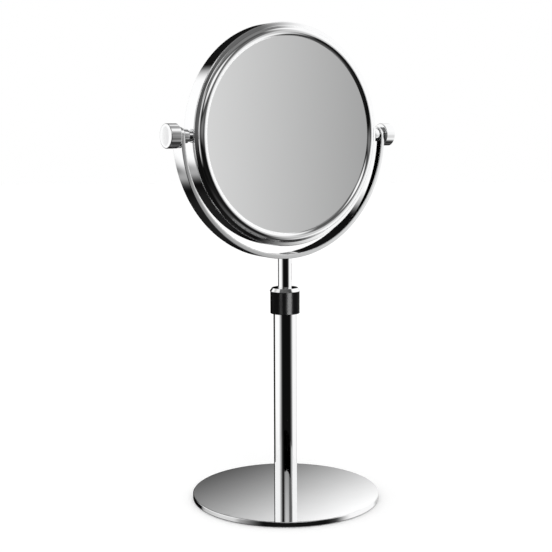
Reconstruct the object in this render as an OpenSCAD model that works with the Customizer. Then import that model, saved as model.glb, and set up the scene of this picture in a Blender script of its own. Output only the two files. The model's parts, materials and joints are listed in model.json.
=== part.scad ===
// Extendable shaving mirror: a two-sided round mirror that tilts in a half-ring yoke,
// on a rod that slides and swivels in a column standing at the back of a round base plate.
// Millimetres, +Z up. Origin: centre of the base's underside. The front is towards -Y.

/* [Base] */
// Diameter of the round base plate
base_d = 162.4; // [160:0.2:180]
// Height of the base plate's top face above the table
base_h = 4.7; // [4.5:0.1:6]
// How far the anti-slip pad stands out below the plate
pad_proud = 0.5; // [0.3:0.1:0.8]
// Distance of the column's axis behind the centre of the base
column_back = 70; // [66:0.5:70]

/* [Column and rod] */
// Outside diameter of the column tube
tube_d = 21.4; // [21:0.1:22]
// Wall of the column tube
tube_wall = 1.2; // [1:0.1:1.4]
// Outside diameter of the sliding rod
rod_d = 12.5; // [12:0.1:13]
// Wall of the sliding rod
rod_wall = 1; // [0.8:0.1:1.2]
// Height of the rod's lower end above the table
rod_low = 52; // [52:1:56]

/* [Clamp collar] */
// Outside diameter of the collar
collar_d = 27; // [26.6:0.1:29]
// Height of the collar's lower edge above the table
collar_low = 151.2; // [150:0.2:152]
// Height of the collar's dark sleeve
sleeve_h = 20.4; // [20:0.2:21]
// Height of the bright cap's bevelled shoulder
shoulder_h = 3.4; // [2.4:0.1:4]

/* [Mirror head] */
// Outside diameter of the drum that holds both glasses
head_d = 200; // [196:0.5:200]
// Width of the drum band, front to back
drum_w = 16.6; // [16:0.1:18]
// Diameter of the glass that shows inside each bezel
glass_view_d = 175.6; // [174:0.1:176]
// Width of the bezel's rounded bead
bead_w = 8; // [7.5:0.1:8.2]
// Height of the bead's crest above the glass
bead_h = 2.2; // [1.8:0.1:2.6]
// Radius of curvature of the magnifying glass
magnifier_r = 600; // [560:10:800]

/* [Yoke and knobs] */
// Clear gap between the drum and the yoke
yoke_gap = 7.7; // [7.5:0.1:9]
// Thickness of the yoke's flat strip
yoke_t = 4; // [3.6:0.1:4.4]
// Width of the yoke's strip, front to back
yoke_w = 15.1; // [14.6:0.1:16]
// Diameter of the side knobs
knob_d = 21.2; // [18:0.2:24]
// Length of the side knobs
knob_len = 10.4; // [9:0.1:14]

/* [Rest pose] */
// Height of the mirror's tilting axis above the table
pivot_h = 314; // [313:0.5:320]
// Angle that the head is turned about the column, seen from above
swivel = 35; // [-90:1:90]

/* [Hidden] */
// Smoothness of small turned parts, of large rings and of the shallow dish
$fn = 96;
ring_fn = 256;
dish_fn = 900;
// Radial clearance of a running fit, of parts that only pass each other, and of a seat
run = 0.05;
pass = 0.3;
seat = 0.03;
// Nominal radii of the machine screws and their drives
m5_r = 2.5;
m6_r = 3;
hex_af = 4;

// Base
base_r = base_d / 2;
plate_t = base_h - pad_proud;
pad_recess = 0.7;
pad_margin = 4.5;
pad_r = base_r - pad_margin;
plate_edge = 0.5;
sink_r = 6;
sink_h = 3;

// Column, from the plate's top face to just under the collet seat
tube_r = tube_d / 2;
bore_r = tube_r - tube_wall;
plug_h = 10;
tube_top = collar_low + 7;
rod_r = rod_d / 2;
rod_bore_r = rod_r - rod_wall;

// Collet seat pressed into the top of the column, and the split collet in its cone
spigot_h = 12;
thread_r = tube_r + 0.3;
seat_h = 8;
seat_wall = 1.5;
bush_h = 14;
collet_r = 8.8;
collet_end_r = 7.3;
collet_half = 5;
collet_mid = tube_top + 6.5;
collet_slot = 1.4;

// Clamp collar
collar_r = collar_d / 2;
sleeve_top = collar_low + sleeve_h;
sleeve_edge = 0.4;
sleeve_bore_r = thread_r + run;
cap_r = collar_r + 0.5;
cap_top_r = collar_r - 1.5;
cap_skirt = 5;
cap_lip = 0.3;

// Rod foot: a plug with a neck that carries the glide ring, closed by a flange
neck_r = 5;
neck_h = 10;
flange_r = 6.6;
flange_h = 3;
foot_plug_h = 12;

// Head, measured along the mirror's own axis from the drum's middle plane
head_r = head_d / 2;
drum_half = drum_w / 2;
drum_wall = 1.6;
drum_edge = 0.3;
lip_r = glass_view_d / 2;
glass_t = 3;
glass_r = lip_r + 0.8;
glass_face = drum_half + 2.2;
glass_back = glass_face - glass_t;
bead_r = (bead_w * bead_w / 4 + bead_h * bead_h) / (2 * bead_h);
flange_out_r = head_r - 0.25;
flange_top = drum_half + 0.6;
flange_slope = 12.5;
flange_edge = 0.4;
bezel_under = drum_half - 0.9;
core_rim_r = head_r - drum_wall - 1.9;
core_in_r = glass_r + 0.6;
core_half = bezel_under - 0.5;
web_back = 1;
web_front = 3.5;
foam_gap = 0.1;
foam_ring_r = 70;

// Yoke, half a ring about the mirror's axis with a round ear at each end
yoke_in_r = head_r + yoke_gap;
yoke_out_r = yoke_in_r + yoke_t;
ear_r = yoke_w / 2;
strip_edge = 0.35;

// Pivots, measured along the tilting axis from the column's axis
boss_r = 5;
boss_in = head_r - 10;
boss_out = head_r + 2;
stud_r = m5_r - run;
stud_in = boss_in + 2;
journal_r = 4;
bush_flange_r = 6.2;
bush_flange_out = yoke_in_r - 0.4;
washer_r = 6.8;
washer_in = yoke_out_r + run;
washer_out = washer_in + 0.4;
knob_in = washer_out + run;
knob_out = knob_in + knob_len;
knob_r = knob_d / 2;
knob_edge = 0.7;
stud_out = knob_out - 3;

// ---- Frames of reference -------------------------------------------------------------

// The column's axis, with z still measured from the table
module at_column() {
    translate([0, column_back, 0]) children();
}

// The centre of the mirror head: X along the tilting axis, -Y out of the front glass
module at_head() {
    translate([0, column_back, pivot_h]) rotate([0, 0, swivel]) children();
}

// Turns a (radius, distance from the middle plane) outline about the mirror's axis.
// side is 1 for the front of the head and -1 for its back.
module turn_on_mirror_axis(side = 1) {
    at_head() rotate([side * 90, 0, 0]) rotate_extrude($fn = ring_fn) children();
}

// Puts parts turned about Z onto the tilting axis. side is -1 for left and 1 for right.
module on_pivot(side) {
    at_head() rotate([0, side * 90, 0]) children();
}

// ---- Shared shapes -------------------------------------------------------------------

// A cylinder with rounded edges, standing on z = 0
module rounded_disc(r, h, edge) {
    rotate_extrude() union() {
        square([r - edge, h]);
        translate([0, edge]) square([r, h - 2 * edge]);
        translate([r - edge, edge]) circle(r = edge);
        translate([r - edge, h - edge]) circle(r = edge);
    }
}

// A cylinder with 45 degree chamfers on both edges, standing on z = 0
module chamfered_disc(r, h, edge) {
    rotate_extrude($fn = ring_fn) polygon([
        [0, 0], [r - edge, 0], [r, edge], [r, h - edge], [r - edge, h], [0, h]
    ]);
}

// A tube standing on z = 0
module ring(outer_r, inner_r, h) {
    difference() {
        cylinder(r = outer_r, h = h);
        translate([0, 0, -1]) cylinder(r = inner_r, h = h + 2);
    }
}

// A countersunk screw that points up, with its head's face on z = 0 and a hexagon socket
module countersunk_screw(r, length, head_r, head_h) {
    difference() {
        union() {
            cylinder(r1 = head_r, r2 = r, h = head_h);
            cylinder(r = r, h = length);
        }
        translate([0, 0, -1]) cylinder(r = hex_af / sqrt(3), h = 1 + head_h * 0.7, $fn = 6);
    }
}

// ---- Base and column -----------------------------------------------------------------

module base_plate() {
    color("gainsboro") difference() {
        translate([0, 0, pad_proud]) chamfered_disc(base_r, plate_t, plate_edge);
        translate([0, 0, pad_proud - 1])
            cylinder(r = pad_r + pass, h = 1 + pad_recess, $fn = ring_fn);
        at_column() cylinder(r = m6_r + pass, h = base_h + 1);
        at_column() translate([0, 0, pad_proud + pad_recess])
            cylinder(r1 = sink_r + seat, r2 = m6_r + seat, h = sink_h);
    }
}

module base_pad() {
    color("dimgray") difference() {
        cylinder(r = pad_r, h = pad_proud + pad_recess, $fn = ring_fn);
        at_column() translate([0, 0, -1]) cylinder(r = sink_r + 1, h = base_h);
    }
}

module base_screw() {
    color("slategray") at_column() translate([0, 0, pad_proud + pad_recess])
        countersunk_screw(m6_r - seat, plate_t + plug_h - 4, sink_r, sink_h);
}

module tube_plug() {
    color("goldenrod") at_column() translate([0, 0, base_h])
        ring(bore_r - seat, m6_r, plug_h);
}

module column_tube() {
    color("silver") at_column() translate([0, 0, base_h])
        ring(tube_r, bore_r, tube_top - base_h);
}

// ---- Clamp at the top of the column --------------------------------------------------

// Spigot in the tube, threaded head over it, and a cone that holds the collet's lower half
module collet_seat() {
    color("goldenrod") at_column() translate([0, 0, tube_top]) difference() {
        union() {
            translate([0, 0, -spigot_h]) cylinder(r = bore_r - seat, h = spigot_h + 1);
            cylinder(r = thread_r, h = seat_h);
        }
        translate([0, 0, -spigot_h - 1])
            cylinder(r = bore_r - seat_wall + seat, h = spigot_h + 1);
        translate([0, 0, -1]) cylinder(r = collet_end_r + seat, h = seat_h);
        translate([0, 0, collet_mid - tube_top - collet_half])
            cylinder(r1 = collet_end_r + seat, r2 = collet_r + seat, h = collet_half);
        translate([0, 0, collet_mid - tube_top - seat])
            cylinder(r = collet_r + seat, h = seat_h);
    }
}

module guide_bush() {
    color("ivory") at_column() translate([0, 0, tube_top - bush_h])
        ring(bore_r - seat_wall, rod_r + run, bush_h);
}

// A nylon ring, tapered both ways and slit, that the collar squeezes onto the rod
module clamp_collet() {
    color("ivory") at_column() translate([0, 0, collet_mid]) difference() {
        rotate_extrude() polygon([
            [rod_r + run, -collet_half], [collet_end_r, -collet_half], [collet_r, 0],
            [collet_end_r, collet_half], [rod_r + run, collet_half]
        ]);
        translate([0, -collet_slot / 2, -collet_half - 1])
            cube([collet_r + 1, collet_slot, 2 * collet_half + 2]);
    }
}

module collar_sleeve() {
    color("black") at_column() translate([0, 0, collar_low]) rotate_extrude() polygon([
        [sleeve_bore_r, 0], [collar_r - sleeve_edge, 0], [collar_r, sleeve_edge],
        [collar_r, sleeve_h - 0.1], [collar_r - 0.1, sleeve_h], [sleeve_bore_r, sleeve_h]
    ]);
}

// Bevelled cap that closes the sleeve; its inner cone presses on the collet's upper half
module collar_cap() {
    cone_wide_z = collet_mid - sleeve_top + pass;
    cone_slope = (collet_r - collet_end_r) / collet_half;
    cone_mouth_r = collet_r + pass - cone_slope * (-cap_skirt - cone_wide_z);
    skirt_r = sleeve_bore_r - seat;
    cap_bore_r = rod_r + pass;
    color("white") at_column() translate([0, 0, sleeve_top]) rotate_extrude() polygon([
        [cap_bore_r, cone_wide_z + collet_half], [collet_end_r + pass, cone_wide_z + collet_half],
        [cone_mouth_r, -cap_skirt], [skirt_r, -cap_skirt], [skirt_r, 0], [collar_r, 0],
        [cap_r, cap_lip], [cap_top_r, shoulder_h], [cap_bore_r, shoulder_h]
    ]);
}

// ---- Sliding rod ---------------------------------------------------------------------

module sliding_rod() {
    color("silver") difference() {
        at_column() translate([0, 0, rod_low])
            ring(rod_r, rod_bore_r, pivot_h - yoke_in_r - rod_low);
        turn_on_mirror_axis() translate([0, -rod_d]) square([yoke_out_r + seat, 2 * rod_d]);
    }
}

module rod_foot() {
    color("goldenrod") at_column() translate([0, 0, rod_low]) {
        cylinder(r = rod_bore_r - seat, h = foot_plug_h);
        translate([0, 0, -neck_h]) cylinder(r = neck_r, h = neck_h);
        translate([0, 0, -neck_h - flange_h]) rounded_disc(flange_r, flange_h, 0.5);
    }
}

// Nylon ring that rides up and down with the rod while the rod turns inside it
module glide_ring() {
    color("ivory") at_column() translate([0, 0, rod_low - neck_h + pass])
        ring(bore_r - run, neck_r + run, neck_h - 2 * pass);
}

module rod_insert() {
    color("goldenrod") at_column() translate([0, 0, pivot_h - yoke_out_r - 20])
        ring(rod_bore_r - seat, m5_r, 19.5);
}

// ---- Yoke ----------------------------------------------------------------------------

// Outline of the strip: x is the distance from the mirror's axis, y is front to back
module strip_outline() {
    polygon([
        [yoke_in_r + strip_edge, -ear_r], [yoke_out_r - strip_edge, -ear_r],
        [yoke_out_r, -ear_r + strip_edge], [yoke_out_r, ear_r - strip_edge],
        [yoke_out_r - strip_edge, ear_r], [yoke_in_r + strip_edge, ear_r],
        [yoke_in_r, ear_r - strip_edge], [yoke_in_r, -ear_r + strip_edge]
    ]);
}

// Upper half of the round end, on top of the strip's end
module ear(side) {
    intersection() {
        on_pivot(side) translate([0, 0, yoke_in_r]) chamfered_disc(ear_r, yoke_t, strip_edge);
        translate([-head_d, column_back - head_d, pivot_h]) cube([2 * head_d, 2 * head_d, ear_r + 1]);
    }
}

module yoke() {
    color("silver") difference() {
        union() {
            difference() {
                turn_on_mirror_axis() strip_outline();
                translate([-head_d, column_back - head_d, pivot_h])
                    cube([2 * head_d, 2 * head_d, head_d]);
            }
            ear(-1);
            ear(1);
        }
        on_pivot(-1) translate([0, 0, head_r]) cylinder(r = journal_r, h = 3 * yoke_gap);
        on_pivot(1) translate([0, 0, head_r]) cylinder(r = journal_r, h = 3 * yoke_gap);
        at_column() translate([0, 0, pivot_h - yoke_out_r - 1]) cylinder(r = m5_r + pass, h = yoke_t + 2);
        at_column() translate([0, 0, pivot_h - yoke_in_r - 2.3])
            cylinder(r1 = m5_r + seat, r2 = 2 * m5_r + seat, h = 2.5);
    }
}

// Holds the yoke to the rod, from inside the yoke down into the rod's insert
module yoke_screw() {
    color("slategray") at_column() translate([0, 0, pivot_h - yoke_in_r + 0.2]) rotate([180, 0, 0])
        countersunk_screw(m5_r - seat, 16, 2 * m5_r, 2.5);
}

// ---- Mirror head ---------------------------------------------------------------------

module drum_ring() {
    color("silver") difference() {
        turn_on_mirror_axis() polygon([
            [head_r - drum_wall, -drum_half], [head_r - drum_edge, -drum_half],
            [head_r, -drum_half + drum_edge], [head_r, drum_half - drum_edge],
            [head_r - drum_edge, drum_half], [head_r - drum_wall, drum_half]
        ]);
        boss_holes(boss_r + seat);
    }
}

module boss_holes(r) {
    on_pivot(-1) translate([0, 0, core_in_r - 2]) cylinder(r = r, h = 2 * yoke_gap);
    on_pivot(1) translate([0, 0, core_in_r - 2]) cylinder(r = r, h = 2 * yoke_gap);
}

// Moulded ring with a web across it: it locates both glasses inside the drum
module core_frame() {
    color("whitesmoke") difference() {
        turn_on_mirror_axis() union() {
            translate([core_in_r, -core_half]) square([core_rim_r - core_in_r, 2 * core_half]);
            translate([0, web_back]) square([core_in_r + 1, web_front - web_back]);
        }
        boss_holes(boss_r + seat);
    }
}

module front_foam() {
    color("gray") turn_on_mirror_axis() translate([0, web_front + foam_gap])
        square([glass_r - 1, glass_back - web_front - 2 * foam_gap]);
}

module rear_foam() {
    dish_centre = glass_face + sqrt(magnifier_r * magnifier_r - glass_r * glass_r);
    back_r = magnifier_r + glass_t;
    foam_top = dish_centre - sqrt(back_r * back_r - foam_ring_r * foam_ring_r) - foam_gap;
    color("gray") turn_on_mirror_axis(-1) translate([foam_ring_r, -web_back + foam_gap])
        square([glass_r - 1 - foam_ring_r, foam_top + web_back - foam_gap]);
}

module front_glass() {
    color("lightblue") turn_on_mirror_axis() polygon([
        [0, glass_back], [glass_r, glass_back], [glass_r, glass_face], [0, glass_face]
    ]);
}

// Shallow dish of even thickness, hollow side outwards, for the magnified reflection
module rear_glass() {
    dish_centre = glass_face + sqrt(magnifier_r * magnifier_r - glass_r * glass_r);
    color("lightblue") turn_on_mirror_axis(-1) intersection() {
        square([glass_r, 2 * glass_face]);
        difference() {
            translate([0, dish_centre]) circle(r = magnifier_r + glass_t, $fn = dish_fn);
            translate([0, dish_centre]) circle(r = magnifier_r, $fn = dish_fn);
        }
    }
}

// A rounded bead round the glass, a sloping flange outside it and a spigot inside the drum
module bezel_outline() {
    lip_face = glass_face + run;
    spigot_r = head_r - drum_wall - 0.1;
    crest_r = lip_r + bead_w / 2;
    arc_z = lip_face + bead_h - bead_r;
    flange_start = crest_r + bead_r - 1.2;
    flange_end = flange_out_r - flange_edge;
    flange_high = flange_top + (flange_end - flange_start) * tan(flange_slope);
    union() {
        intersection() {
            translate([crest_r, arc_z]) circle(r = bead_r, $fn = ring_fn);
            polygon([
                [lip_r, lip_face], [glass_r + pass, lip_face],
                [glass_r + pass, flange_top], [crest_r + bead_r + 1, flange_top],
                [crest_r + bead_r + 1, glass_face + 2 * bead_h], [lip_r, glass_face + 2 * bead_h]
            ]);
        }
        polygon([
            [glass_r + pass, bezel_under], [spigot_r - 1.5, bezel_under],
            [spigot_r - 1.5, drum_half - 2], [spigot_r, drum_half - 2],
            [spigot_r, drum_half + seat], [flange_out_r, drum_half + seat],
            [flange_out_r, flange_top - flange_edge], [flange_end, flange_top],
            [flange_start, flange_high], [glass_r + pass, lip_face + bead_h / 4]
        ]);
    }
}

module front_bezel() {
    color("silver") turn_on_mirror_axis() bezel_outline();
}

module rear_bezel() {
    color("silver") turn_on_mirror_axis(-1) bezel_outline();
}

// ---- Pivots and knobs ----------------------------------------------------------------

// Threaded boss through the drum's wall
module boss(side) {
    color("silver") on_pivot(side) translate([0, 0, boss_in])
        ring(boss_r, m5_r, boss_out - boss_in);
}

module left_boss() { boss(-1); }
module right_boss() { boss(1); }

// Shouldered bush: its flange spaces the drum from the yoke, its journal turns in the ear
module pivot_bush(side) {
    color("silver") on_pivot(side) difference() {
        union() {
            translate([0, 0, boss_out]) rounded_disc(bush_flange_r, bush_flange_out - boss_out, 0.6);
            translate([0, 0, boss_out]) cylinder(r = journal_r - run, h = yoke_out_r - boss_out);
        }
        translate([0, 0, head_r]) cylinder(r = m5_r, h = 3 * yoke_gap);
    }
}

module left_pivot_bush() { pivot_bush(-1); }
module right_pivot_bush() { pivot_bush(1); }

// Friction washer between the yoke's ear and the knob
module friction_washer(side) {
    color("dimgray") on_pivot(side) translate([0, 0, washer_in])
        ring(washer_r, m5_r, washer_out - washer_in);
}

module left_washer() { friction_washer(-1); }
module right_washer() { friction_washer(1); }

// Threaded stud fixed in the knob, screwed through the bush into the boss
module stud(side) {
    color("slategray") on_pivot(side) translate([0, 0, stud_in])
        cylinder(r = stud_r, h = stud_out - stud_in);
}

module left_stud() { stud(-1); }
module right_stud() { stud(1); }

module knob(side) {
    color("gainsboro") on_pivot(side) difference() {
        translate([0, 0, knob_in]) rounded_disc(knob_r, knob_len, knob_edge);
        translate([0, 0, knob_in - 1]) cylinder(r = stud_r + seat, h = stud_out - knob_in + 1 + seat);
    }
}

module left_knob() { knob(-1); }
module right_knob() { knob(1); }

base_plate();
base_pad();
base_screw();
tube_plug();
column_tube();
collet_seat();
guide_bush();
clamp_collet();
collar_sleeve();
collar_cap();
glide_ring();
rod_foot();
sliding_rod();
rod_insert();
yoke();
yoke_screw();
drum_ring();
core_frame();
front_foam();
rear_foam();
front_glass();
rear_glass();
front_bezel();
rear_bezel();
left_boss();
right_boss();
left_pivot_bush();
right_pivot_bush();
left_washer();
right_washer();
left_stud();
right_stud();
left_knob();
right_knob();
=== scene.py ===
"""Looks of an extendable shaving mirror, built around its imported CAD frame. Metres."""
import json
import math

import bmesh
import bpy
import numpy as np
from mathutils import Matrix, Vector

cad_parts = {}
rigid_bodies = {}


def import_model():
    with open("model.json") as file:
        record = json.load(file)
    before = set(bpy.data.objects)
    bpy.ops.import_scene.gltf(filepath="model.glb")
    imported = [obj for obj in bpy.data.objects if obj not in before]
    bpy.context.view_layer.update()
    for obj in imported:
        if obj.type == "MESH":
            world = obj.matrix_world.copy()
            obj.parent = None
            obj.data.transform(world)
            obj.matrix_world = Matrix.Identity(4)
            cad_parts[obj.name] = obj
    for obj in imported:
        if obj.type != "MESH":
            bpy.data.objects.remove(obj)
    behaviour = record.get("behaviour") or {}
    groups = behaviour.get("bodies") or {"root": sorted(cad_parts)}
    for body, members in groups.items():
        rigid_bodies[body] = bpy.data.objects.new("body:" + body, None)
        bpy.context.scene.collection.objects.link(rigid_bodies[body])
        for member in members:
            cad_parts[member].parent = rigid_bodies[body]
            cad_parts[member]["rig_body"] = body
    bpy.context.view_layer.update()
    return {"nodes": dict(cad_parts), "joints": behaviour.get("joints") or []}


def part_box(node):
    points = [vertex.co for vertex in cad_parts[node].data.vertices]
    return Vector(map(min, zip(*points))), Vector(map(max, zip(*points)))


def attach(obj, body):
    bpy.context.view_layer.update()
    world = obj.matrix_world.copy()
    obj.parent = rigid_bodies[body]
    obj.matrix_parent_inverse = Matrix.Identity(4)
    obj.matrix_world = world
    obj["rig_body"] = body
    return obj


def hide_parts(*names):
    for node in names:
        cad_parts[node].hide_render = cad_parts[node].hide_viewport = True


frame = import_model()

MM = 0.001
SEAT = 0.03 * MM
HAIR_EDGE = 0.1 * MM
LARGE, MEDIUM, SMALL = 512, 256, 96


# ---- Frames of reference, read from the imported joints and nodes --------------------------

def joint(name):
    return next(j for j in frame["joints"] if j["name"] == name)


COLUMN_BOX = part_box("column_tube")
COLUMN = Matrix.Translation(
    ((COLUMN_BOX[0].x + COLUMN_BOX[1].x) / 2, (COLUMN_BOX[0].y + COLUMN_BOX[1].y) / 2, 0))
TILT_AXIS = Vector(joint("head_tilt")["axis"]).normalized()
PIVOT = Vector(joint("head_tilt")["pos_m"])
HEAD_TURN = math.atan2(TILT_AXIS.y, TILT_AXIS.x)
HEAD = Matrix.Translation(PIVOT) @ Matrix.Rotation(HEAD_TURN, 4, "Z")
FRONT = HEAD @ Matrix.Rotation(math.pi / 2, 4, "X")
REAR = HEAD @ Matrix.Rotation(-math.pi / 2, 4, "X")
LEFT = HEAD @ Matrix.Rotation(-math.pi / 2, 4, "Y")
RIGHT = HEAD @ Matrix.Rotation(math.pi / 2, 4, "Y")
GROUND = Matrix.Identity(4)


class Extent:
    """Radii and heights of a CAD node about the Z axis of a frame of reference."""

    def __init__(self, node, where):
        mesh = frame["nodes"][node].data
        co = np.empty(len(mesh.vertices) * 3)
        mesh.vertices.foreach_get("co", co)
        m = np.array(where.inverted())
        p = co.reshape(-1, 3) @ m[:3, :3].T + m[:3, 3]
        r = np.hypot(p[:, 0], p[:, 1])
        self.inner, self.outer = r.min(), r.max()
        self.low, self.high = p[:, 2].min(), p[:, 2].max()


# ---- Mesh building ------------------------------------------------------------------------

def fillet(corners, closed=True, steps=6):
    """Rounds a polygon's corners. Each corner is (radius from axis, height, rounding)."""
    out = []
    n = len(corners)
    for i, (x, y, f) in enumerate(corners):
        if f <= 0 or (not closed and i in (0, n - 1)):
            out.append((x, y))
            continue
        p = Vector((x, y))
        a = (Vector(corners[i - 1][:2]) - p).normalized()
        b = (Vector(corners[(i + 1) % n][:2]) - p).normalized()
        half = math.acos(max(-1, min(1, a.dot(b)))) / 2
        reach = f / math.tan(half)
        centre = p + (a + b).normalized() * (f / math.sin(half))
        s, e = p + a * reach - centre, p + b * reach - centre
        sweep = math.pi - 2 * half
        turn = math.copysign(1, s.x * e.y - s.y * e.x)
        for k in range(steps + 1):
            t = turn * sweep * k / steps
            out.append((centre.x + s.x * math.cos(t) - s.y * math.sin(t),
                        centre.y + s.x * math.sin(t) + s.y * math.cos(t)))
    return out


def add_object(name, bm, weighted=True, sharp=40):
    bmesh.ops.remove_doubles(bm, verts=bm.verts, dist=1e-7)
    bmesh.ops.recalc_face_normals(bm, faces=bm.faces)
    mesh = bpy.data.meshes.new(name)
    bm.to_mesh(mesh)
    bm.free()
    for polygon in mesh.polygons:
        polygon.use_smooth = True
    mesh.set_sharp_from_angle(angle=math.radians(sharp))
    obj = bpy.data.objects.new(name, mesh)
    bpy.context.scene.collection.objects.link(obj)
    if weighted:
        w = obj.modifiers.new("even_normals", "WEIGHTED_NORMAL")
        w.mode = "FACE_AREA"
        w.weight = 100
        w.keep_sharp = True
    return obj


def turned(bm, outline, where, segments=MEDIUM, closed=True, arc=None):
    """Adds an outline of (radius, height) turned about the Z axis of a frame of reference."""
    whole = arc is None
    start, end = (0, 2 * math.pi) if whole else arc
    count = segments if whole else segments + 1
    rows = []
    for r, z in outline:
        if r < 1e-9:
            v = bm.verts.new(where @ Vector((0, 0, z)))
            rows.append([v] * count)
            continue
        row = []
        for k in range(count):
            t = start + (end - start) * k / segments
            row.append(bm.verts.new(where @ Vector((r * math.cos(t), r * math.sin(t), z))))
        rows.append(row)
    for i in range(len(rows) if closed else len(rows) - 1):
        a, b = rows[i], rows[(i + 1) % len(rows)]
        for k in range(segments):
            m = (k + 1) % count
            quad = [a[k], a[m], b[m], b[k]]
            quad = [v for j, v in enumerate(quad) if v is not quad[j - 1]]
            if len(quad) > 2:
                bm.faces.new(quad)
    return rows


def lathe(name, outline, where, segments=MEDIUM, closed=True):
    bm = bmesh.new()
    turned(bm, outline, where, segments, closed)
    return add_object(name, bm)


def tube_outline(e, edge, foot=None):
    foot = edge if foot is None else foot
    return fillet([(e.inner, e.low, foot), (e.outer, e.low, foot),
                   (e.outer, e.high, edge), (e.inner, e.high, edge)], steps=3)


# ---- Materials ----------------------------------------------------------------------------

class Nodes:
    """A node tree, with short names for its usual nodes."""

    def __init__(self, tree):
        self.tree = tree

    def node(self, kind, **settings):
        n = self.tree.nodes.new("ShaderNode" + kind)
        for key, value in settings.items():
            setattr(n, key, value)
        return n

    def link(self, a, b):
        self.tree.links.new(a, b)

    def math(self, operation, *values):
        n = self.node("Math", operation=operation)
        for socket, v in zip(n.inputs, values):
            if isinstance(v, (int, float)):
                socket.default_value = v
            else:
                self.link(v, socket)
        return n.outputs[0]

    def remap(self, value, from_low, from_high, to_low, to_high, curve="SMOOTHSTEP"):
        n = self.node("MapRange", interpolation_type=curve)
        for key, v in (("From Min", from_low), ("From Max", from_high),
                       ("To Min", to_low), ("To Max", to_high)):
            n.inputs[key].default_value = v
        self.link(value, n.inputs["Value"])
        return n.outputs["Result"]


class Shader(Nodes):
    """A material around one Principled BSDF."""

    def __init__(self, name, **inputs):
        self.material = bpy.data.materials.new(name)
        self.material.use_nodes = True
        super().__init__(self.material.node_tree)
        self.bsdf = self.tree.nodes["Principled BSDF"]
        for key, value in inputs.items():
            self.bsdf.inputs[key.replace("_", " ")].default_value = value
        self.place = self.node("TexCoord").outputs["Object"]

    def scaled(self, scale):
        """Object coordinates in metres, stretched by a scale for each axis."""
        m = self.node("Mapping")
        m.inputs["Scale"].default_value = scale
        self.link(self.place, m.inputs["Vector"])
        return m.outputs["Vector"]

    def noise(self, scale, size=1.0, detail=3.0, roughness=0.55):
        n = self.node("TexNoise")
        n.inputs["Scale"].default_value = size
        n.inputs["Detail"].default_value = detail
        n.inputs["Roughness"].default_value = roughness
        self.link(self.scaled(scale), n.inputs["Vector"])
        return n.outputs["Fac"]

    def colour(self, value, low, high):
        n = self.node("ValToRGB")
        n.color_ramp.elements[0].color = (*low, 1)
        n.color_ramp.elements[1].color = (*high, 1)
        self.link(value, n.inputs["Fac"])
        self.link(n.outputs["Color"], self.bsdf.inputs["Base Color"])

    def bump(self, height, distance, strength=1.0):
        n = self.node("Bump")
        n.inputs["Strength"].default_value = strength
        n.inputs["Distance"].default_value = distance
        self.link(height, n.inputs["Height"])
        self.link(n.outputs["Normal"], self.bsdf.inputs["Normal"])

    def roughness(self, value):
        self.link(value, self.bsdf.inputs["Roughness"])


CHROME_DARK = (0.86, 0.862, 0.865)
CHROME_LIGHT = (0.925, 0.927, 0.93)


def chrome(name, grain=(1, 1, 1), smooth=0.012, rough=0.05):
    """Bright plating: faint smears in its gloss, polishing lines along grain, and hairlines."""
    s = Shader(name, Metallic=1.0)
    smears = s.noise((55, 55, 55), detail=5)
    lines = s.noise(tuple(900 * g for g in grain), detail=2)
    gloss = s.math("ADD", s.remap(smears, 0.45, 0.75, smooth, rough),
                   s.remap(lines, 0.55, 0.8, 0.0, 0.015))
    s.roughness(gloss)
    s.colour(s.noise((30, 30, 30), detail=4), CHROME_DARK, CHROME_LIGHT)
    return s.material


def mirror_glass(name):
    """Silvered glass: the silver under a clear front surface with faint wiping marks."""
    s = Shader(name, Metallic=1.0, Coat_Weight=0.35, Coat_Roughness=0.01, Coat_IOR=1.5)
    marks = s.noise((14, 40, 14), detail=6, roughness=0.65)
    s.roughness(s.remap(marks, 0.5, 0.85, 0.0, 0.012))
    s.colour(s.noise((9, 9, 9), detail=3), (0.73, 0.733, 0.733), (0.75, 0.753, 0.753))
    return s.material


def dark_gloss(name):
    """Near-black satin sleeve with fine turning marks."""
    s = Shader(name, IOR=1.08)
    s.colour(s.noise((80, 80, 80), detail=4), (0.002, 0.002, 0.0022), (0.004, 0.004, 0.0044))
    s.roughness(s.remap(s.noise((60, 60, 60), detail=4), 0.35, 0.75, 0.24, 0.30))
    s.bump(s.noise((200, 200, 5000), detail=2), 0.000004)
    return s.material


def rubber(name):
    s = Shader(name)
    s.colour(s.noise((300, 300, 300), detail=5), (0.018, 0.018, 0.019), (0.034, 0.034, 0.036))
    s.roughness(s.remap(s.noise((120, 120, 120), detail=4), 0.3, 0.7, 0.62, 0.88))
    cells = s.node("TexVoronoi", feature="SMOOTH_F1")
    cells.inputs["Scale"].default_value = 1.0
    s.link(s.scaled((700, 700, 700)), cells.inputs["Vector"])
    grain = s.math("ADD", s.math("MULTIPLY", cells.outputs["Distance"], 0.6),
                   s.math("MULTIPLY", s.noise((2200, 2200, 2200), detail=4), 0.4))
    s.bump(grain, 0.00035)
    return s.material


def plain(name, low, high, rough_low, rough_high, metallic=0.0, grain=400.0, depth=0.00002,
          **inputs):
    """A finish with a soft variation in colour and gloss and a fine surface grain."""
    s = Shader(name, Metallic=metallic, **inputs)
    s.colour(s.noise((grain / 4,) * 3, detail=4), low, high)
    s.roughness(s.remap(s.noise((grain / 2,) * 3, detail=4), 0.3, 0.7, rough_low, rough_high))
    s.bump(s.noise((grain * 4,) * 3, detail=4), depth)
    return s.material


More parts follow.
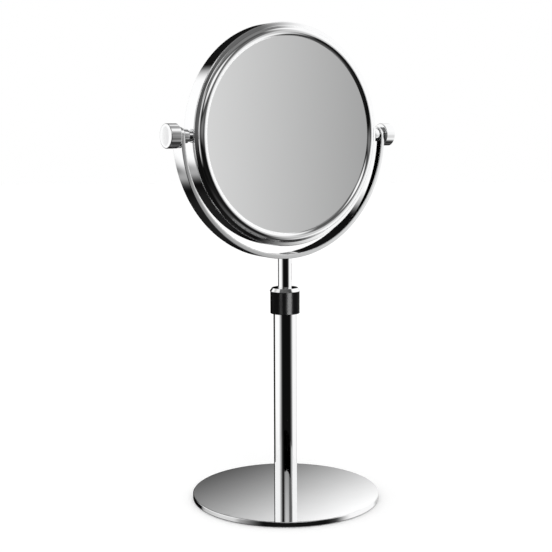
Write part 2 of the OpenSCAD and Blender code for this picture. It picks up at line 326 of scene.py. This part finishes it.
PLATE_CHROME = chrome("plate_chrome", smooth=0.01, rough=0.035)
TUBE_CHROME = chrome("tube_chrome", grain=(1, 1, 0.05))
YOKE_CHROME = chrome("yoke_chrome", grain=(0.3, 0.3, 0.3))
HEAD_CHROME = chrome("head_chrome", grain=(0.4, 0.4, 0.4))
SMALL_CHROME = chrome("small_chrome", smooth=0.015, rough=0.045)
CAP_CHROME = chrome("cap_chrome", smooth=0.015, rough=0.05)
MIRROR = mirror_glass("silvered_glass")
SLEEVE_GLOSS = dark_gloss("sleeve_gloss")
PAD_RUBBER = rubber("pad_rubber")
WASHER_FIBRE = plain("washer_fibre", (0.025, 0.024, 0.023), (0.06, 0.058, 0.055), 0.5, 0.75)
STEEL = plain("zinc_steel", (0.42, 0.43, 0.44), (0.60, 0.61, 0.62), 0.22, 0.42, metallic=1.0)
BRASS = plain("turned_brass", (0.62, 0.43, 0.16), (0.80, 0.58, 0.26), 0.18, 0.36, metallic=1.0)
NYLON = plain("ivory_nylon", (0.66, 0.63, 0.55), (0.76, 0.73, 0.66), 0.38, 0.55,
              Subsurface_Weight=0.05)
MOULDING = plain("white_moulding", (0.62, 0.62, 0.61), (0.72, 0.72, 0.71), 0.42, 0.58)
FOAM = plain("grey_foam", (0.10, 0.10, 0.105), (0.20, 0.20, 0.21), 0.85, 0.98, grain=900.0,
             depth=0.0004)

HIDDEN_FINISHES = {
    "base_screw": STEEL, "yoke_screw": STEEL, "left_stud": STEEL, "right_stud": STEEL,
    "tube_plug": BRASS, "collet_seat": BRASS, "rod_foot": BRASS, "rod_insert": BRASS,
    "guide_bush": NYLON, "clamp_collet": NYLON, "glide_ring": NYLON,
    "core_frame": MOULDING, "front_foam": FOAM, "rear_foam": FOAM,
}


def dress(obj, material, body, slot, *nodes):
    obj.data.materials.append(material)
    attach(obj, body)
    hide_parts(*nodes)
    return obj


# ---- Base and column ----------------------------------------------------------------------

PLATE_EDGE = 0.5 * MM
PAD_EDGE = 0.25 * MM
PAD_GAP = 0.3 * MM
PAD_BORDER = 1 * MM
RECESS_EDGE = 0.2 * MM
COLUMN_EDGE = 0.3 * MM
COLUMN_FOOT_EDGE = 0.03 * MM
SINK_H = 3 * MM
SINK_NECK_R = 3.03 * MM
SCREW_HOLE_R = 3.3 * MM
HOLE_ROOF = 0.2 * MM


def fill_between(bm, outer, inner, up):
    """Fills the flat space between two full turns' rows of vertices."""
    edges = [bm.edges.get((row[k - 1], row[k])) for row in (outer, inner) for k in range(len(row))]
    bmesh.ops.triangle_fill(bm, use_beauty=True, use_dissolve=False, edges=edges,
                            normal=(0, 0, up))


def polished_base():
    plate = Extent("base_plate", GROUND)
    pad = Extent("base_pad", GROUND)
    screw = Extent("base_screw", COLUMN)
    recess_r = pad.outer + PAD_GAP
    recess_z = pad.high
    neck_z = recess_z + SINK_H
    bm = bmesh.new()
    disc = fillet([(0, plate.high, 0), (plate.outer, plate.high, PLATE_EDGE),
                   (plate.outer, plate.low, PLATE_EDGE), (recess_r, plate.low, RECESS_EDGE),
                   (recess_r, recess_z, 0)], closed=False, steps=8)
    rim_row = turned(bm, disc, GROUND, LARGE, closed=False)[-1]
    sink = [(screw.outer + SEAT, recess_z), (SINK_NECK_R, neck_z), (SCREW_HOLE_R, neck_z),
            (SCREW_HOLE_R, plate.high - HOLE_ROOF)]
    sink_rows = turned(bm, sink, COLUMN, SMALL, closed=False)
    fill_between(bm, rim_row, sink_rows[0], -1)
    bm.faces.new(sink_rows[-1])
    return dress(add_object("polished_base", bm), PLATE_CHROME, "base", "chrome_plate",
                 "base_plate")


def anti_slip_pad():
    pad = Extent("base_pad", GROUND)
    screw = Extent("base_screw", COLUMN)
    hole_r = screw.outer + PAD_BORDER
    bm = bmesh.new()
    borders = []
    for edge_r, inward, where, segments in ((pad.outer, -PAD_BORDER, GROUND, LARGE),
                                            (hole_r, PAD_BORDER, COLUMN, SMALL)):
        outline = fillet([(edge_r + inward, pad.low, 0), (edge_r, pad.low, PAD_EDGE),
                          (edge_r, pad.high, 0), (edge_r + inward, pad.high, 0)],
                         closed=False, steps=4)
        borders.append(turned(bm, outline, where, segments, closed=False))
    outer, hole = borders
    fill_between(bm, outer[0], hole[0], -1)
    fill_between(bm, outer[-1], hole[-1], 1)
    return dress(add_object("anti_slip_pad", bm), PAD_RUBBER, "base", "rubber_pad", "base_pad")


def column_shell():
    outline = tube_outline(Extent("column_tube", COLUMN), COLUMN_EDGE, COLUMN_FOOT_EDGE)
    return dress(lathe("column_shell", outline, COLUMN), TUBE_CHROME, "base", "chrome_tube",
                 "column_tube")


# ---- Clamp collar --------------------------------------------------------------------------

SLEEVE_FOOT_EDGE = 0.4 * MM
SLEEVE_TOP_EDGE = 0.12 * MM
SLEEVE_TOP_INNER_EDGE = 0.05 * MM


def sleeve_shell():
    e = Extent("collar_sleeve", COLUMN)
    outline = fillet([(e.inner, e.low, HAIR_EDGE), (e.outer, e.low, SLEEVE_FOOT_EDGE),
                      (e.outer, e.high, SLEEVE_TOP_EDGE),
                      (e.inner, e.high, SLEEVE_TOP_INNER_EDGE)], steps=5)
    return dress(lathe("sleeve_shell", outline, COLUMN), SLEEVE_GLOSS, "collar",
                 "dark_collar", "collar_sleeve")


CAP_BEVEL = 2 * MM
CAP_LIP = 0.3 * MM
CAP_LIP_EDGE = 0.12 * MM
CAP_TOP_EDGE = 0.25 * MM
CAP_INNER_EDGE = 0.15 * MM
SKIRT_WALL = 1 * MM
CONE_DEPTH = 1.6 * MM
CONE_MARGIN = 1.05 * MM


def bright_cap():
    """Bevelled ring with a lip over the sleeve, and a skirt in it with a cone for the collet."""
    sleeve = Extent("collar_sleeve", COLUMN)
    e = Extent("collar_cap", COLUMN)
    joint_z = sleeve.high
    skirt_r = sleeve.inner - SEAT
    cone_top = joint_z - CONE_DEPTH
    outline = fillet([
        (e.inner, cone_top, 0), (e.inner + CONE_MARGIN, cone_top, 0),
        (skirt_r - SKIRT_WALL, e.low, HAIR_EDGE), (skirt_r, e.low, HAIR_EDGE),
        (skirt_r, joint_z, 0), (sleeve.outer, joint_z, 0),
        (e.outer, joint_z + CAP_LIP, CAP_LIP_EDGE),
        (e.outer - CAP_BEVEL, e.high, CAP_TOP_EDGE), (e.inner, e.high, CAP_INNER_EDGE)],
        steps=5)
    return dress(lathe("bright_cap", outline, COLUMN), CAP_CHROME, "collar",
                 "bright_cap", "collar_cap")


# ---- Rod and yoke ---------------------------------------------------------------------------

ROD_STEPS = 192
ROD_EDGE = 0.3 * MM
ROD_BORE_EDGE = 0.15 * MM
YOKE_T = 4 * MM
YOKE_OUT = Extent("yoke", RIGHT).high
YOKE_IN = Extent("left_pivot_bush", LEFT).high - YOKE_T
EAR_R = Extent("yoke", FRONT).high
YOKE_STEPS = 256
STRIP_EDGE = 0.45 * MM
BORE_R = 4 * MM
BORE_PAST = 2 * MM


def rod_shell():
    """The rod, with its top end shaped to the round underside of the yoke."""
    e = Extent("sliding_rod", COLUMN)
    bm = bmesh.new()
    rows = turned(bm, fillet([(e.inner, e.low, ROD_BORE_EDGE), (e.outer, e.low, ROD_EDGE),
                              (e.outer, e.high, 0), (e.inner, e.high, 0)], steps=3),
                  COLUMN, ROD_STEPS)
    into_head = HEAD.inverted()
    for row in rows[-2:]:
        for v in row:
            x = (into_head @ v.co).x
            v.co.z = PIVOT.z - math.sqrt(YOKE_OUT * YOKE_OUT - x * x)
    return dress(add_object("rod_shell", bm), TUBE_CHROME, "mast", "chrome_tube", "sliding_rod")


def yoke_strip():
    """Half a ring of flat strip with a round end at each side, and a hole through each end."""
    half, f, steps = EAR_R, STRIP_EDGE, 4
    section = fillet([(YOKE_IN, -half, f), (YOKE_OUT, -half, f), (YOKE_OUT, half, f),
                      (YOKE_IN, half, f)], steps=steps)
    # A line along the middle of both faces meets the centres of the round ends.
    section.insert(2 * (steps + 1), (YOKE_OUT, 0.0))
    section.append((YOKE_IN, 0.0))
    bm = bmesh.new()
    turned(bm, section, FRONT, YOKE_STEPS, closed=True, arc=(math.pi, 2 * math.pi))
    end = fillet([(0, YOKE_IN, 0), (half, YOKE_IN, f), (half, YOKE_OUT, f), (0, YOKE_OUT, 0)],
                 closed=False, steps=steps)
    quarter = math.pi / 2
    for where, arc in ((LEFT, (-quarter, quarter)), (RIGHT, (quarter, 3 * quarter))):
        turned(bm, end, where, SMALL // 2, closed=False, arc=arc)
    obj = add_object("yoke_strip", bm)
    low, high = YOKE_IN - BORE_PAST, YOKE_OUT + BORE_PAST
    for name, where in (("left_bore", LEFT), ("right_bore", RIGHT)):
        cb = bmesh.new()
        turned(cb, [(0, low), (BORE_R, low), (BORE_R, high), (0, high)], where, SMALL,
               closed=False)
        cutter = add_object(name, cb, weighted=False)
        cut = obj.modifiers.new(name, "BOOLEAN")
        cut.operation = "DIFFERENCE"
        cut.solver = "EXACT"
        cut.object = cutter
        obj.modifiers.move(len(obj.modifiers) - 1, 0)
        bpy.context.view_layer.update()
        whole = bpy.data.meshes.new_from_object(
            obj.evaluated_get(bpy.context.evaluated_depsgraph_get()))
        obj.modifiers.remove(cut)
        obj.data = whole
        bpy.data.objects.remove(cutter)
    return dress(obj, YOKE_CHROME, "mast", "chrome_yoke", "yoke")


# ---- Mirror head ------------------------------------------------------------------------------

BEAD_W = 8 * MM
BEAD_H = 2.2 * MM
BEAD_STEPS = 32
VALLEY = math.radians(8)
FLANGE_SLOPE = math.radians(12.5)
FLANGE_ROUND = 0.35 * MM
FLANGE_INSET = 0.65 * MM
FLANGE_EDGE = 0.4 * MM
FLANGE_T = 0.6 * MM
SPIGOT_GAP = 0.1 * MM
SPIGOT_H = 2 * MM
SPIGOT_WALL = 1.5 * MM
UNDERCUT = 0.9 * MM
GLASS_GAP = 0.3 * MM
DRUM_EDGE = 0.35 * MM
GLASS_OF = {"front_bezel": "front_glass", "rear_bezel": "rear_glass"}


def drum_band():
    drum = Extent("drum_ring", FRONT)
    outline = fillet([(drum.inner, drum.low, HAIR_EDGE), (drum.outer, drum.low, DRUM_EDGE),
                      (drum.outer, drum.high, DRUM_EDGE), (drum.inner, drum.high, HAIR_EDGE)],
                     steps=5)
    return dress(lathe("drum_band", outline, FRONT, LARGE), HEAD_CHROME, "head", "chrome_head",
                 "drum_ring")


def curve_between(a, corner, b, steps):
    """Points of a parabola from a to b, with its tangents through the corner."""
    out = []
    for k in range(1, steps + 1):
        t = k / steps
        u, v, w = (1 - t) ** 2, 2 * t * (1 - t), t * t
        out.append((u * a[0] + v * corner[0] + w * b[0], u * a[1] + v * corner[1] + w * b[1]))
    return out


def rim(name, where, node):
    """Rounded bead round the glass, a sloping flange outside it and a spigot in the drum."""
    drum = Extent("drum_ring", where)
    glass = Extent(GLASS_OF[node], where)
    bezel = Extent(node, where)
    lip_r = bezel.inner
    lip_face = bezel.high - BEAD_H
    bead_r = (BEAD_W * BEAD_W / 4 + BEAD_H * BEAD_H) / (2 * BEAD_H)
    mid_r, mid_z = lip_r + BEAD_W / 2, bezel.high - bead_r
    flange_end = drum.outer - FLANGE_INSET
    flange_edge = flange_end + FLANGE_EDGE
    flange_top = drum.high + FLANGE_T
    flange_low = drum.high + SEAT
    slope = math.tan(FLANGE_SLOPE)

    def flange_z(r):
        return flange_top + (flange_end - r) * slope

    # The bead's arc ends at the flange. That angle is looked for from 50 to 90 degrees.
    start = math.asin((lip_r - mid_r) / bead_r)
    end = next(t for t in (math.radians(k / 10) for k in range(500, 900))
               if mid_z + bead_r * math.cos(t) < flange_z(mid_r + bead_r * math.sin(t)))
    bead = []
    for k in range(BEAD_STEPS + 1):
        t = start + (end - VALLEY - start) * k / BEAD_STEPS
        bead.append((mid_r + bead_r * math.sin(t), mid_z + bead_r * math.cos(t)))
    foot = (mid_r + bead_r * math.sin(end), mid_z + bead_r * math.cos(end))
    reach = bead_r * VALLEY
    valley = curve_between(bead[-1], foot, (foot[0] + reach, flange_z(foot[0] + reach)), 8)
    outer = fillet([(foot[0] + reach, flange_z(foot[0] + reach), 0),
                    (flange_end + FLANGE_EDGE * slope, flange_top, FLANGE_ROUND),
                    (flange_edge, flange_low, 0)], closed=False, steps=8)
    spigot = drum.inner - SPIGOT_GAP
    spigot_low = drum.high - SPIGOT_H
    under_z = drum.high - UNDERCUT
    under = [(spigot, flange_low), (spigot, spigot_low), (spigot - SPIGOT_WALL, spigot_low),
             (spigot - SPIGOT_WALL, under_z), (glass.outer + GLASS_GAP, under_z),
             (glass.outer + GLASS_GAP, lip_face)]
    return dress(lathe(name, bead + valley + outer + under, where, LARGE), HEAD_CHROME, "head",
                 "chrome_head", node)


GLASS_STEPS = 384
DISH_R = 600 * MM
DISH_T = 3 * MM
DISH_RINGS = 40
GLASS_BACK_EDGE = 0.3 * MM
GLASS_FRONT_EDGE = 0.4 * MM


def flat_mirror():
    g = Extent("front_glass", FRONT)
    outline = fillet([(0, g.low, 0), (g.outer, g.low, GLASS_BACK_EDGE),
                      (g.outer, g.high, GLASS_FRONT_EDGE), (0, g.high, 0)], closed=False, steps=4)
    return dress(lathe("front_mirror", outline, FRONT, GLASS_STEPS, closed=False), MIRROR,
                 "head", "mirror_glass", "front_glass")


def dished_mirror():
    """The magnifying side: both faces are parts of spheres about one centre."""
    g = Extent("rear_glass", REAR)
    centre = g.high + math.sqrt(DISH_R ** 2 - g.outer ** 2)
    radii = [g.outer * k / DISH_RINGS for k in range(DISH_RINGS + 1)]
    back = DISH_R + DISH_T
    top = [(r, centre - math.sqrt(DISH_R ** 2 - r ** 2)) for r in radii]
    bottom = [(r, centre - math.sqrt(back ** 2 - r ** 2)) for r in reversed(radii)]
    return dress(lathe("rear_mirror", top + bottom, REAR, GLASS_STEPS, closed=False), MIRROR,
                 "head", "mirror_glass", "rear_glass")


# ---- Pivots and knobs --------------------------------------------------------------------------

PIVOT_STEPS = 128
KNOB_STEPS = 192
NECK_EDGE = 0.25 * MM
WASHER_EDGE = 0.08 * MM
BUSH_GAP = 0.4 * MM
BUSH_EDGE = 0.6 * MM
JOURNAL_R = 3.95 * MM
KNOB_EDGE = 0.7 * MM
KNOB_END_EDGE = 0.8 * MM


def neck(side, where):
    e = Extent(side + "_boss", where)
    outline = fillet([(e.inner, e.low, HAIR_EDGE), (e.outer, e.low, HAIR_EDGE),
                      (e.outer, e.high, NECK_EDGE), (e.inner, e.high, HAIR_EDGE)], steps=4)
    return dress(lathe(side + "_neck", outline, where, PIVOT_STEPS), SMALL_CHROME, "head",
                 "chrome_small", side + "_boss")


def spacer(side, where):
    e = Extent(side + "_pivot_bush", where)
    flange_out = YOKE_IN - BUSH_GAP
    outline = fillet([(e.inner, e.low, 0), (e.outer, e.low, BUSH_EDGE),
                      (e.outer, flange_out, BUSH_EDGE), (JOURNAL_R, flange_out, 0),
                      (JOURNAL_R, e.high, 0), (e.inner, e.high, 0)], steps=6)
    return dress(lathe(side + "_spacer", outline, where, PIVOT_STEPS), SMALL_CHROME, "head",
                 "chrome_small", side + "_pivot_bush")


def friction_ring(side, where):
    node = side + "_washer"
    outline = tube_outline(Extent(node, where), WASHER_EDGE)
    return dress(lathe(side + "_friction_ring", outline, where, PIVOT_STEPS), WASHER_FIBRE,
                 frame["nodes"][node]["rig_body"], "friction_washer", node)


def grip(side, where):
    e = Extent(side + "_knob", where)
    stud = Extent(side + "_stud", where)
    bore = stud.outer + SEAT
    bore_end = stud.high + SEAT
    outline = fillet([(bore, e.low, 0), (e.outer, e.low, KNOB_EDGE),
                      (e.outer, e.high, KNOB_END_EDGE), (0, e.high, 0)], closed=False, steps=8)
    inner = [(0, bore_end), (bore, bore_end), (bore, e.low)]
    obj = lathe(side + "_grip", outline + inner, where, KNOB_STEPS, closed=False)
    return dress(obj, SMALL_CHROME, side + "_thumbscrew", "chrome_small", side + "_knob")


# ---- Studio ------------------------------------------------------------------------------------

CAMERA_AT = Vector((-0.0018, -0.94845, 0.31726))
CAMERA_YAW = math.radians(-0.358)
CAMERA_DOWN = math.radians(7.368)
CAMERA_ROLL = math.radians(-0.252)
CAMERA_LENS = 72.78
SCREEN_GAMMA = 2.2
WHITE = 1.1
DARK = 0.005
FLOOR_SIZE = 6
ROOM_R = 5.0
ROOM_GLOW = 0.25
LAMP_FAR = 0.5
LAMP_H = 0.3
CARD_FAR = 2.5
CARD_RINGS, CARD_SPOKES = 10, 64
GLASS_VIEW_R = 90 * MM
GLASS_CARD_FADE = 1.19

# Soft panels round the object, painted over one another in this order. Azimuth 0 is the
# camera's side, and 90 is to its right. Each is: azimuth, half width, softness,
# elevation, half height, softness, brightness on a screen after the chrome's reflection.
PANELS = {
    "floor_glow": (0, 200, 5, -90, 30, 25, 88),
    "top_glow": (0, 200, 5, 90, 32, 18, 125),
    "front_dim": (10, 34, 24, -34, 13, 8, 26),
    "front_low_glow": (12, 26, 30, 4, 6, 5, 122),
    "front_softbox": (14, 23, 12, 32, 13, 7, 254),
    "front_left_fill": (-32, 14, 10, 44, 10, 8, 125),
    "left_panel_front": (-76, 28, 22, 8, 27, 8, 255),
    "left_upper_panel": (-95, 30, 8, 50, 12, 6, 235),
    "left_panel": (-98, 36, 6, 8, 27, 6, 255),
    "right_upper_skirt": (60, 16, 12, 24, 22, 9, 102),
    "right_skirt": (86, 22, 17, -3, 14, 8, 165),
    "right_low_panel": (111, 36, 13, -12, 29, 9, 250),
    "right_panel": (123, 51, 9, 27, 30, 9, 255),
    "rear_panel": (168, 20, 7, -6, 14, 6, 232),
    "rear_left_flag": (-158, 17, 6, 24, 12, 5, 20),
    "rear_left_low_flag": (-150, 22, 5, -29, 11, 5, 30),
    "rear_left_strip": (-152, 27, 4, -13, 13, 5, 10),
    "rear_left_line": (-126.5, 7.5, 2.5, -11, 7, 3, 10),
}

# The rays that a stage card can be solid for: an output of the light path, a comparison
# with it, and a limit.
LATER_REFLECTIONS = "Glossy Depth", "GREATER_THAN", 1.5
NEAR_THE_CAP = "Ray Length", "LESS_THAN", 0.06

# Dark upright cards across the line of sight. Each is: distance along Y, the rays that it
# is solid for, and its outline of (x, z). The first gives the right arm of the yoke its
# dark inner face, the second hides the room that the plate shows to the column's foot, and
# the third darkens the flat top of the collar's cap.
FLAGS = {
    "arm_flag": (0.25, LATER_REFLECTIONS, [
        (0.0, 0.19), (0.05, 0.18), (0.1, 0.2), (0.125, 0.25), (0.13, 0.31),
        (0.08, 0.31), (0.07, 0.26), (0.04, 0.235), (0.0, 0.235)]),
    "foot_flag": (-0.28, LATER_REFLECTIONS, [
        (-0.1, 0.0), (0.43, 0.0), (0.43, 0.186), (0.35, 0.166), (0.25, 0.14),
        (0.15, 0.121), (0.05, 0.111), (-0.1, 0.114)]),
    "cap_flag": (0.11, NEAR_THE_CAP, [
        (-0.025, 0.176), (0.025, 0.176), (0.025, 0.192), (-0.025, 0.192)]),
}

# Glowing cards that flat round faces reflect. Each is: two screen greys, and the angle in
# degrees at which the gradient between them runs across the face.
FACE_CARDS = {
    "glass_card": ((232, 177), 0),
    "plate_card": ((92, 262), -38),
    "knob_card": ((226, 244), 90),
}

# Lamps that light only the collar's sleeve. Each is: azimuth, width in metres, watts.
SLEEVE_LAMPS = {"sleeve_lamp_right": (36, 0.3, 54), "sleeve_lamp_left": (-32, 0.16, 5)}


def camera():
    data = bpy.data.cameras.new("camera")
    data.sensor_width = 36
    data.lens = CAMERA_LENS
    data.clip_start = 0.01
    data.clip_end = 50
    obj = bpy.data.objects.new("camera", data)
    bpy.context.scene.collection.objects.link(obj)
    ahead = Vector((math.sin(CAMERA_YAW) * math.cos(CAMERA_DOWN),
                    math.cos(CAMERA_YAW) * math.cos(CAMERA_DOWN), -math.sin(CAMERA_DOWN)))
    right = Vector((math.cos(CAMERA_YAW), -math.sin(CAMERA_YAW), 0))
    up = right.cross(ahead)
    c, s = math.cos(CAMERA_ROLL), math.sin(CAMERA_ROLL)
    x, y = right * c + up * s, up * c - right * s
    turn = Matrix((x, y, -ahead)).transposed().to_4x4()
    obj.matrix_world = Matrix.Translation(CAMERA_AT) @ turn
    bpy.context.scene.camera = obj


def grey(srgb):
    """Linear light of a grey given as 0 to 255 on a screen."""
    v = srgb / 255
    return v / 12.92 if v <= 0.04045 else ((v + 0.055) / 1.055) ** 2.4


def world():
    """A dark room with the panels, for reflections. The camera and diffuse light see white."""
    w = bpy.data.worlds.new("studio")
    bpy.context.scene.world = w
    w.use_nodes = True
    n = Nodes(w.node_tree)
    n.tree.nodes.clear()
    parts = n.node("SeparateXYZ")
    n.link(n.node("TexCoord").outputs["Generated"], parts.inputs[0])
    x, y, z = parts.outputs
    degree = 180 / math.pi
    azimuth = n.math("MULTIPLY", n.math("ARCTAN2", x, n.math("MULTIPLY", y, -1.0)), degree)
    height = n.math("MULTIPLY", n.math("ARCSINE", z), degree)
    light = DARK
    for az, half_az, soft_az, el, half_el, soft_el, level in PANELS.values():
        across = n.math("ABSOLUTE", n.math("WRAP", n.math("SUBTRACT", azimuth, float(az)),
                                           180.0, -180.0))
        above = n.math("ABSOLUTE", n.math("SUBTRACT", height, float(el)))
        mask = n.math("MULTIPLY",
                      n.remap(across, half_az - soft_az, half_az + soft_az, 1.0, 0.0),
                      n.remap(above, half_el - soft_el, half_el + soft_el, 1.0, 0.0))
        light = n.math("ADD", n.math("MULTIPLY", light, n.math("SUBTRACT", 1.0, mask)),
                       n.math("MULTIPLY", mask, grey(level) * WHITE))
    path = n.node("LightPath")
    for ray in ("Is Diffuse Ray", "Is Camera Ray"):
        chosen = path.outputs[ray]
        light = n.math("ADD", n.math("MULTIPLY", light, n.math("SUBTRACT", 1.0, chosen)),
                       chosen)
    back = n.node("Background")
    n.link(light, back.inputs["Color"])
    n.link(back.outputs[0], n.node("OutputWorld").inputs["Surface"])


def floor():
    """A plain pale floor. A little of its own light keeps it as pale as the backdrop."""
    bm = bmesh.new()
    bmesh.ops.create_grid(bm, x_segments=1, y_segments=1, size=FLOOR_SIZE)
    obj = add_object("floor", bm, weighted=False)
    obj.visible_glossy = False
    s = Shader("pale_floor", Roughness=0.9, Emission_Color=(1, 1, 1, 1), Emission_Strength=0.12)
    s.colour(s.noise((3, 3, 3)), (0.95, 0.95, 0.95), (0.96, 0.96, 0.96))
    obj.data.materials.append(s.material)


def light_only(obj, *pieces):
    """Makes a glowing stage object or a lamp light these pieces and nothing else."""
    group = bpy.data.collections.new(obj.name + "_lights")
    for piece in pieces:
        group.objects.link(piece)
    obj.light_linking.receiver_collection = group


def put_on_stage(obj):
    """Hides a card from everything but reflections, and gives it an empty material."""
    for ray in ("camera", "diffuse", "transmission", "volume_scatter", "shadow"):
        setattr(obj, "visible_" + ray, False)
    material = bpy.data.materials.new(obj.name)
    material.use_nodes = True
    obj.data.materials.append(material)
    n = Nodes(material.node_tree)
    n.tree.nodes.clear()
    return material, n


def stage_card(name, bm, strength, solid_for=None):
    """A stage object that only reflections see. It is clear, with its glow added.

    With solid_for it is solid for those rays, and clear without a glow for all others."""
    obj = add_object(name, bm, weighted=False)
    material, n = put_on_stage(obj)
    material.cycles.emission_sampling = "NONE"
    glow = n.node("Emission")
    glow.inputs["Strength"].default_value = strength
    both = n.node("MixShader" if solid_for else "AddShader")
    if solid_for:
        measure, comparison, limit = solid_for
        chosen = n.math(comparison, n.node("LightPath").outputs[measure], limit)
        n.link(chosen, both.inputs[0])
    n.link(n.node("BsdfTransparent").outputs[0], both.inputs[-2])
    n.link(glow.outputs[0], both.inputs[-1])
    n.link(both.outputs[0], n.node("OutputMaterial").inputs["Surface"])
    return obj


def mirror_room(*mirrors):
    """A pale room that only the large mirrors reflect, so that neither turns black in a view."""
    bm = bmesh.new()
    bmesh.ops.create_uvsphere(bm, u_segments=48, v_segments=24, radius=ROOM_R)
    light_only(stage_card("mirror_room", bm, ROOM_GLOW), *mirrors)


def flag(name, y, solid_for, outline):
    bm = bmesh.new()
    bm.faces.new([bm.verts.new((x, y, z)) for x, z in outline])
    stage_card(name, bm, 0.0, solid_for)


def sleeve_lamp(name, azimuth, width, power, sleeve):
    """A soft lamp whose reflection makes an upright band on the collar sleeve."""
    data = bpy.data.lights.new(name, "AREA")
    data.shape = "RECTANGLE"
    data.size = width
    data.size_y = LAMP_H
    data.energy = power
    obj = bpy.data.objects.new(name, data)
    bpy.context.scene.collection.objects.link(obj)
    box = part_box("collar_sleeve")
    middle = (box[0] + box[1]) / 2
    fall = (CAMERA_AT.z - middle.z) / (middle - CAMERA_AT).xy.length
    t = math.radians(azimuth)
    away = Vector((math.sin(t), -math.cos(t), -fall))
    obj.matrix_world = (Matrix.Translation(middle + away * LAMP_FAR)
                        @ away.to_track_quat("Z", "Y").to_matrix().to_4x4())
    obj.visible_camera = False
    obj.visible_diffuse = False
    light_only(obj, sleeve)


def reflection_card(name, face, radius, fade_to=1.0):
    """A glowing card that fills just what a flat round face reflects to the camera.

    It is the face itself, enlarged from the camera's mirror image, with a straight gradient.
    Outside the face it fades away, up to fade_to times its radius."""
    greys, degrees = FACE_CARDS[name]
    normal = (face.to_3x3() @ Vector((0, 0, 1))).normalized()
    image = CAMERA_AT - normal * (2 * (CAMERA_AT - face.translation).dot(normal))
    bm = bmesh.new()
    across = bm.verts.layers.float.new("across")
    cover = bm.verts.layers.float.new("cover")
    sizes = [k / CARD_RINGS for k in range(CARD_RINGS + 1)]
    if fade_to > 1:
        sizes += [1 + (fade_to - 1) * k / CARD_RINGS for k in range(1, CARD_RINGS + 1)]
    angle = math.radians(degrees)
    way = Vector((math.cos(angle), math.sin(angle)))
    rows = []
    for k, size in enumerate(sizes):
        row = []
        fading = max(0, (size - 1) / (fade_to - 1)) if fade_to > 1 else 0
        for m in range(CARD_SPOKES if k else 1):
            t = 2 * math.pi * m / CARD_SPOKES
            flat = Vector((math.cos(t), math.sin(t))) * size
            p = face @ Vector((flat.x * radius, flat.y * radius, 0))
            v = bm.verts.new(image + (p - image) * CARD_FAR)
            v[across] = flat.dot(way)
            v[cover] = 0.5 + 0.5 * math.cos(math.pi * fading)
            row.append(v)
        rows.append(row if k else row * CARD_SPOKES)
    for a, b in zip(rows, rows[1:]):
        for m in range(CARD_SPOKES):
            after = (m + 1) % CARD_SPOKES
            quad = [a[m], b[m], b[after], a[after]]
            bm.faces.new([v for j, v in enumerate(quad) if v is not quad[j - 1]])
    mesh = bpy.data.meshes.new(name)
    bm.to_mesh(mesh)
    bm.free()
    obj = bpy.data.objects.new(name, mesh)
    bpy.context.scene.collection.objects.link(obj)
    _, n = put_on_stage(obj)
    low, high = (g / 255 for g in greys)
    tone = n.remap(n.node("Attribute", attribute_name="across").outputs["Fac"],
                   -1.0, 1.0, low, high, curve="LINEAR")
    glow = n.node("Emission")
    glow.inputs["Strength"].default_value = WHITE
    n.link(n.math("POWER", tone, SCREEN_GAMMA), glow.inputs["Color"])
    both = n.node("MixShader")
    n.link(n.node("Attribute", attribute_name="cover").outputs["Fac"], both.inputs[0])
    n.link(n.node("BsdfTransparent").outputs[0], both.inputs[1])
    n.link(glow.outputs[0], both.inputs[2])
    n.link(both.outputs[0], n.node("OutputMaterial").inputs["Surface"])


def raised(where, height):
    return where @ Matrix.Translation((0, 0, height))


def studio():
    camera()
    world()
    floor()
    glass = Extent("front_glass", FRONT)
    reflection_card("glass_card", raised(FRONT, glass.high), GLASS_VIEW_R, GLASS_CARD_FADE)
    plate = Extent("base_plate", GROUND)
    reflection_card("plate_card", raised(GROUND, plate.high), plate.outer)
    knob = Extent("left_knob", LEFT)
    reflection_card("knob_card", raised(LEFT, knob.high), knob.outer - KNOB_END_EDGE)
    pieces = bpy.data.objects
    mirror_room(pieces["front_mirror"], pieces["rear_mirror"])
    for name, (y, solid_for, outline) in FLAGS.items():
        flag(name, y, solid_for, outline)
    for name, (azimuth, width, power) in SLEEVE_LAMPS.items():
        sleeve_lamp(name, azimuth, width, power, pieces["sleeve_shell"])
    view = bpy.context.scene.view_settings
    view.view_transform = "Standard"
    view.look = "None"


def build():
    polished_base()
    anti_slip_pad()
    column_shell()
    sleeve_shell()
    bright_cap()
    rod_shell()
    yoke_strip()
    drum_band()
    rim("front_rim", FRONT, "front_bezel")
    rim("rear_rim", REAR, "rear_bezel")
    flat_mirror()
    dished_mirror()
    for side, where in (("left", LEFT), ("right", RIGHT)):
        neck(side, where)
        spacer(side, where)
        friction_ring(side, where)
        grip(side, where)
    for node, material in HIDDEN_FINISHES.items():
        obj = frame["nodes"][node]
        obj.data.materials.clear()
        obj.data.materials.append(material)


build()
studio()
